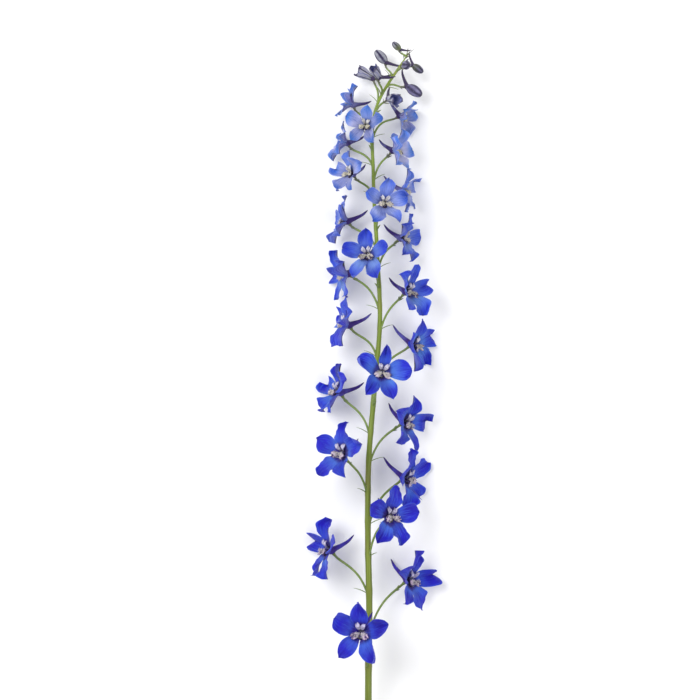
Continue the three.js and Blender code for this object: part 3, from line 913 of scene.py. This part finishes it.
def petal_paint():
    """Sepals: cobalt low on the spike to azure at its top, paling to lavender towards a dark
    violet claw, with lighter rims and fine veins. Their backs are lavender and violet between
    blue rims, with a purple midrib that ends in a dark streak."""
    paint = Paint("blue_sepal")
    along, across, back, youth = paint.fields("along", "across", "back", "youth")
    part, glow = paint.fields("spur", "glow")
    off_rib = paint.math("ABSOLUTE", across)

    low = (0, 34, 22, 200), (0.3, 34, 30, 208), (0.5, 34, 42, 214)
    high = (0.66, 38, 66, 222), (0.82, 70, 134, 234), (1, 84, 138, 228)
    front = paint.ramp(youth, *low, *high)
    low = (0, 74, 112, 232), (0.3, 84, 130, 236), (0.5, 88, 138, 230)
    high = (0.66, 126, 158, 232), (0.82, 198, 200, 240), (1, 200, 198, 236)
    pale = paint.ramp(youth, *low, *high)
    rear = paint.ramp(
        youth, (0, 58, 50, 196), (0.35, 86, 86, 208), (0.62, 130, 136, 220), (1, 150, 156, 210)
    )
    deep = paint.blend(0.6, front, (30, 10, 120))
    flower = paint.times(youth, VEIN_STEP)
    veins = paint.noise(2.2, 4, paint.times(across, 7), paint.times(along, 1.3), flower)
    cloud = paint.noise(130, 2)
    # Broad random patches, darkened towards the deep colour and lightened towards the pale one below.
    # They vary the sepals apart, and are partly painted shade and painted highlight standing in for
    # the light on folds.
    tone = paint.noise(70, 1)

    full = paint.fade(youth, 0.2, 0.9, 0.2, 0.4)
    none = paint.fade(youth, 0.2, 0.9, 0.75, 0.95)
    brighter = paint.times(glow, paint.fade(youth, 0.6, 0.85, 1, 1.4))
    claw = paint.times(paint.fade(along, full, none, 1, 0), brighter)
    claw = paint.times(claw, paint.fade(cloud, 0.3, 0.7, 0.8, 1.15))
    shaded = paint.fade(glow, 0.2, 0.9, 0.75, 0.1)
    shade = paint.times(paint.fade(along, 0.08, 0.42, 1, 0), shaded)
    full = paint.fade(youth, 0.2, 0.9, 0.19, 0.14)
    none = paint.fade(youth, 0.2, 0.9, 0.33, 0.28)
    eye = paint.times(paint.fade(along, full, none, 1, 0), paint.fade(youth, 0.4, 0.85, 0.95, 0.15))
    speck = paint.times(paint.fade(along, 0.94, 0.98), paint.fade(off_rib, 0.1, 0.4, 0.45, 0))
    colour = paint.blend(claw, front, pale)
    colour = paint.blend(shade, colour, deep)
    colour = paint.blend(eye, colour, (62, 24, 124))
    colour = paint.lay(
        colour,
        (deep, tone, 0.32, 0.55, 0.5, 0),
        (pale, tone, 0.5, 0.7, 0, 0.26),
        (pale, off_rib, 0.84, 1, 0, 0.4),
        (pale, veins, 0.5, 0.72, 0, 0.4),
        (deep, veins, 0.3, 0.47, 0.5, 0),
    )
    colour = paint.blend(speck, colour, (34, 20, 84))

    behind = paint.lay(
        rear,
        ((96, 66, 196), cloud, 0.45, 0.7, 0, 0.45),
        (front, off_rib, 0.4, 0.9, 0, 0.65),
        (front, along, 0.7, 0.95, 0, 0.5),
        (pale, veins, 0.48, 0.66, 0, 0.6),
        (deep, veins, 0.3, 0.46, 0.5, 0),
        ((70, 36, 136), off_rib, 0.03, 0.2, 0.8, 0),
    )
    streak = paint.times(paint.fade(along, 0.62, 0.74), paint.fade(along, 0.9, 0.94, 1, 0))
    streak = paint.times(streak, paint.fade(off_rib, 0.06, 0.16, 1, 0))
    behind = paint.blend(streak, behind, (10, 6, 34))
    colour = paint.blend(back, colour, behind)

    spur = paint.ramp(youth, (0, 58, 30, 142), (0.6, 60, 34, 122), (1, 56, 42, 92))
    violet = (44, 18, 84)
    spur = paint.lay(spur, (rear, cloud, 0.4, 0.65, 0, 0.5), (violet, along, 0.8, 1, 0, 0.7))
    throat = paint.lay((36, 16, 72), ((96, 70, 150), cloud, 0.35, 0.65))
    colour = paint.lay(colour, (throat, part, 0.3, 0.45), (spur, part, 0.6, 0.9))
    return paint.finish(colour, 0.56, 0.28, (veins, 0.0006), sheen=0.12, through=0.22)


def half_open_paint():
    """Half-open sepals: pale grey and lavender stripes beside a dark midrib, blue rims, dark
    tips, and blue-lavender inside."""
    paint = Paint("striped_sepal")
    along, across, youth, back, part = paint.fields("along", "across", "youth", "back", "spur")
    off_rib = paint.math("ABSOLUTE", across)
    flower = paint.times(youth, VEIN_STEP)
    veins = paint.noise(2.4, 3, paint.times(across, 5), along, flower)
    stripes = paint.lay(
        paint.ramp(veins, (0.3, 106, 102, 150), (0.45, 160, 158, 190), (0.6, 202, 204, 204)),
        ((116, 120, 104), along, 0, 0.35, 0.6, 0),
        ((70, 74, 158), off_rib, 0.76, 0.96, 0, 0.7),
        ((46, 38, 80), off_rib, 0.06, 0.24, 0.95, 0),
    )
    inside = paint.ramp(veins, (0.35, 100, 114, 194), (0.65, 158, 162, 210))
    spur = paint.blend(veins, (46, 34, 72), (82, 68, 108))
    colour = paint.lay(
        paint.blend(back, inside, stripes),
        ((44, 28, 80), along, 0.78, 0.96, 0, 0.85),
        (spur, part, 0.6, 0.9),
    )
    return paint.finish(colour, 0.52, 0.3, (veins, 0.0003), sheen=0.12, through=0.18)


def bud_paint():
    """Closed sepals: slate purple, with painted shade in the grooves and a painted highlight along
    the middle of each rib, a pale streak along the ribs of some buds, and greener on the youngest
    buds, with the dark spur behind."""
    paint = Paint("bud_skin")
    along, across, part, youth, glow = paint.fields("along", "across", "spur", "youth", "glow")
    cloud = paint.noise(420, 3)
    veins = paint.noise(2.4, 3, paint.times(across, 6), along, youth)
    stripe = paint.times(paint.fade(across, 0.4, 0.9), glow)
    green = paint.times(paint.fade(youth, 0.4, 1), paint.fade(along, 0.2, 0.9, 0.8, 0.1))
    # Painted shade: dark in the grooves between the ribs, lighter over the ribs. Painted highlight: a
    # lighter band along the middle of each rib.
    colour = paint.lay(
        (32, 26, 54),
        ((80, 72, 118), across, 0.15, 0.8),
        ((132, 128, 164), veins, 0.48, 0.62, 0, 0.6),
        ((146, 142, 176), across, 0.72, 0.97, 0, 0.55),
    )
    colour = paint.blend(stripe, colour, (164, 166, 176))
    colour = paint.lay(colour, ((56, 48, 84), cloud, 0.35, 0.65, 0, 0.4))
    colour = paint.blend(green, colour, (108, 118, 62))
    spur = paint.blend(cloud, (44, 34, 66), (78, 66, 100))
    colour = paint.lay(colour, ((34, 28, 54), along, 0.86, 1, 0, 0.7), (spur, part, 0.6, 0.9))
    return paint.finish(colour, 0.5, 0.35, (veins, 0.0005))


def bee_paint():
    """Bee petals: ragged whitish patches, lilac low on the spike and creamier high on it, on
    violet there and on olive here, which reaches furthest on the lower petals; pale hairs."""
    paint = Paint("bee_cream")
    along, across, youth, hair, low = paint.fields("along", "across", "youth", "hair", "low")
    cloud = paint.noise(380, 3)
    upper = paint.ramp(youth, (0, 214, 208, 240), (0.6, 224, 222, 236), (1, 226, 226, 216))
    lower = paint.ramp(youth, (0, 216, 192, 222), (0.5, 222, 210, 220), (1, 220, 218, 190))
    foot = paint.ramp(youth, (0, 56, 20, 104), (0.55, 74, 50, 96), (1, 84, 80, 50))
    tuft = paint.ramp(youth, (0, 238, 230, 238), (1, 242, 238, 210))
    off_rib = paint.math("ABSOLUTE", across)
    more_low = paint.math("MULTIPLY_ADD", low, 0.5, 0.45)
    stain = paint.times(paint.fade(cloud, 0.49, 0.57), more_low)
    edge = paint.times(paint.fade(off_rib, 0.72, 0.95), paint.fade(youth, 0.4, 0.9, 0.7, 0.2))
    stain = paint.math("MAXIMUM", stain, edge)
    stain = paint.math("MAXIMUM", stain, paint.fade(along, 0.24, 0.55, 1, 0))
    colour = paint.blend(stain, paint.blend(low, upper, lower), foot)
    colour = paint.blend(hair, colour, tuft)
    return paint.finish(colour, 0.62, 0.25, (cloud, 0.0002), sheen=0.2, through=0.2)


def stamen_paint():
    """Stamens: violet threads and blue-black anthers with a dusty brown bloom on some, round
    green pods."""
    paint = Paint("stamen_dark")
    anther, pod = paint.fields("anther", "pod")
    cloud = paint.noise(700, 2)
    tip = paint.lay((26, 18, 50), ((74, 58, 70), cloud, 0.45, 0.65))
    thread = paint.blend(cloud, (90, 76, 160), (150, 140, 196))
    colour = paint.blend(pod, paint.blend(anther, thread, tip), (120, 146, 78))
    return paint.finish(colour, 0.6, 0.3, (cloud, 0.0002))


def stem_paint():
    """The stem: yellow-green with long lighter and darker streaks, duller and browner towards
    the cut, fresh at the tip, and pale pith at the cut end. Its green is kept dark throughout, most
    low down, as painted shade from the flowers crowded round it."""
    paint = Paint("stem_green")
    along, across, pith = paint.fields("along", "across", "pith")
    streaks = paint.noise(2, 4, paint.times(across, 3), paint.times(along, 9), 0)
    patches = paint.noise(1, 2, 0, paint.times(along, 24), across)
    # Darker and duller towards the cut: partly the stem's own colour, partly painted shade, darker
    # throughout and most low down, where the flowers crowd round the stem.
    colour = paint.ramp(
        along, (0, 88, 102, 36), (0.35, 106, 120, 36), (0.75, 116, 138, 40), (1, 132, 158, 54)
    )
    cut = paint.ramp(pith, (0.25, 140, 156, 84), (0.5, 214, 218, 178), (0.9, 150, 156, 110))
    colour = paint.lay(
        colour,
        ((148, 162, 70), streaks, 0.45, 0.75, 0, 0.6),
        ((68, 88, 24), streaks, 0.2, 0.45, 0.6, 0),
        ((128, 104, 54), patches, 0.5, 0.72, 0, 0.35),
        (cut, pith, 0.05, 0.3),
    )
    return paint.finish(colour, 0.42, 0.4, (streaks, 0.0005))


def stalk_paint():
    """Stalks and bracts: grey-green, purple-tinged towards the flower high on the spike."""
    paint = Paint("stalk_green")
    along, youth = paint.fields("along", "youth")
    cloud = paint.noise(260, 3)
    colour = paint.ramp(youth, (0, 104, 126, 56), (0.6, 114, 138, 62), (1, 124, 148, 66))
    colour = paint.lay(colour, ((142, 154, 104), cloud, 0.4, 0.7, 0, 0.5))
    tinge = paint.times(paint.fade(along, 0.55, 1), paint.fade(youth, 0.3, 0.95, 0.12, 0.75))
    colour = paint.blend(tinge, colour, (78, 58, 84))
    return paint.finish(colour, 0.5, 0.35, (cloud, 0.0003))


def down_paint():
    """The stalks' hairs: white, greener at the root."""
    paint = Paint("down_white")
    (along,) = paint.fields("along")
    colour = paint.blend(along, (176, 190, 140), (236, 238, 226))
    return paint.finish(colour, 0.7, 0.2)


# ---- pieces ----


def placed(name, data):
    """A new object for a mesh, a light or a camera."""
    item = bpy.data.objects.new(name, data)
    bpy.context.collection.objects.link(item)
    return item


def make_piece(name, made, paint, slot, *nodes):
    """A skin as an object: points in metres about the frame's origin, its fields as attributes,
    smooth faces, riding on the part's one body."""
    points = off_surface(made.points) - MIDDLE
    mesh = bpy.data.meshes.new(name)
    mesh.vertices.add(len(points))
    mesh.vertices.foreach_set("co", (points * MM).astype(np.float32).ravel())
    corners = np.concatenate([made.quads.ravel(), made.tris.ravel()])
    sides = np.concatenate([np.full(len(made.quads), 4), np.full(len(made.tris), 3)])
    mesh.loops.add(len(corners))
    mesh.loops.foreach_set("vertex_index", corners.astype(np.int32))
    mesh.polygons.add(len(sides))
    mesh.polygons.foreach_set("loop_start", (np.cumsum(sides) - sides).astype(np.int32))
    mesh.polygons.foreach_set("use_smooth", np.ones(len(sides), bool))
    mesh.update(calc_edges=True)
    for field, values in made.fields.items():
        attribute = mesh.attributes.new(field, "FLOAT", "POINT")
        attribute.data.foreach_set("value", values.astype(np.float32))
    mesh.materials.append(paint)
    piece = placed(name, mesh)
    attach(piece, "root")
    if nodes:
        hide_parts(*nodes)


def one_flower(f, k):
    """Flower k of the plan, as single values."""
    single = {name: value[k] for name, value in vars(f).items()}
    low, high = YOUTH_SPAN
    single["youth"] = float(np.clip((f.at[k] - low) / (high - low), 0, 1))
    return SimpleNamespace(**single)


def let_down(f, low):
    """A bloom at its lowest azimuth is let down until its lowest sepal presses on the surface."""
    if f.kind != "bloom" or min(f.turn, np.pi - f.turn) - low > SAME_ANGLE:
        return
    u = np.array([[0.92], [1]])
    v = np.array([[-1, 0, 1]])
    mids = [sepal_mid(f, i, OPEN, PLAIN, frame_width)(u, v) for i in range(len(SEPALS))]
    f.hub = f.hub - UP * (min(mid[..., 2].min() for mid in mids) - BLADE / 2 + PRESS)


def whole(f, one_sepal):
    """A flower's five sepals and its spur."""
    return joined([one_sepal(f, i) for i in range(len(SEPALS))] + [spur(f)])


def build():
    """Every flower of the plan, and the stem with all that grows on it."""
    plans = plan()
    settle(plans)
    flowers = [one_flower(plans, k) for k in range(NODES)]
    for f, low in zip(flowers, lowest_azimuth(plans)):
        let_down(f, low)

    sepals, stripes, buds = petal_paint(), half_open_paint(), bud_paint()
    cream, dark = bee_paint(), stamen_paint()
    green, grey_green, hairs = stem_paint(), stalk_paint(), down_paint()

    make_piece("stem_shaft", stem(flowers), green, "stem", "stem")
    make_piece("stalks", joined([stalk(f) for f in flowers]), grey_green, "stem", "stem")
    make_piece("down", joined([down(f) for f in flowers]), hairs, "stem")
    make_piece("bracts", joined([bracts(f) for f in flowers] + [tip_bracts()]), grey_green, "stem")
    for f in flowers:
        number = f"{f.k + 1:02d}"
        node = f"{f.kind}_{number}"
        if f.kind == "bloom":
            make_piece("sepals_" + number, whole(f, sepal), sepals, "bloom", node)
            make_piece("petals_" + number, bee(f), cream, "bee", "bee_" + number)
            make_piece("stamens_" + number, stamens(f), dark, "bee")
        elif f.kind == "half_open":
            made = whole(f, half_open_sepal)
            make_piece("opening_" + number, made, stripes, "half_open", node)
        else:
            make_piece("closed_" + number, joined([bud_egg(f), spur(f)]), buds, "bud", node)


# ---- stage, lights and camera ----

VIEW_CENTRE = (-14, 379)
VIEW_WIDTH = 490
VIEW_HEIGHT = 25
LENS = 100
FILM = 36

# Each softbox: its place in metres, its width and its power. Both face the lit point.
LIGHTS = {
    "key_light": ((-0.75, 0.55, 1.25), 0.9, 17),
    "fill_light": ((0.95, -0.35, 1.1), 1.1, 8),
}
LIT_POINT = (0, 0.06, 0.02)
SKY_STRENGTH = 0.6


def floor():
    """A pale, faintly mottled square."""
    size = 4
    mesh = bpy.data.meshes.new("floor")
    corners = [(-size, -size, 0), (size, -size, 0), (size, size, 0), (-size, size, 0)]
    mesh.from_pydata(corners, [], [(0, 1, 2, 3)])
    paint = Paint("floor_pale")
    colour = paint.blend(paint.noise(3, 2), (246, 246, 248), (252, 252, 252))
    mesh.materials.append(paint.finish(colour, 0.7, 0.1))
    placed("floor", mesh)


def softbox(name, where, width, power):
    """A square area light that faces the lit point."""
    light = bpy.data.lights.new(name, "AREA")
    light.energy = power
    light.size = width
    lamp = placed(name, light)
    lamp.location = where
    aim = Vector(LIT_POINT) - lamp.location
    lamp.rotation_euler = aim.to_track_quat("-Z", "Y").to_euler()


def studio():
    floor()
    for name, setting in LIGHTS.items():
        softbox(name, *setting)
    world = bpy.data.worlds.new("studio")
    world.use_nodes = True
    sky = world.node_tree.nodes["Background"]
    sky.inputs["Color"].default_value = (1, 1, 1, 1)
    sky.inputs["Strength"].default_value = SKY_STRENGTH
    scene = bpy.context.scene
    scene.world = world
    scene.view_settings.view_transform = "Standard"

    camera = bpy.data.cameras.new("camera")
    camera.lens = LENS
    camera.sensor_width = FILM
    scene.camera = placed("camera", camera)
    x, y = np.array(VIEW_CENTRE) - MIDDLE[:2]
    scene.camera.location = np.array([x, y, VIEW_HEIGHT + VIEW_WIDTH * LENS / FILM]) * MM


build()
studio()
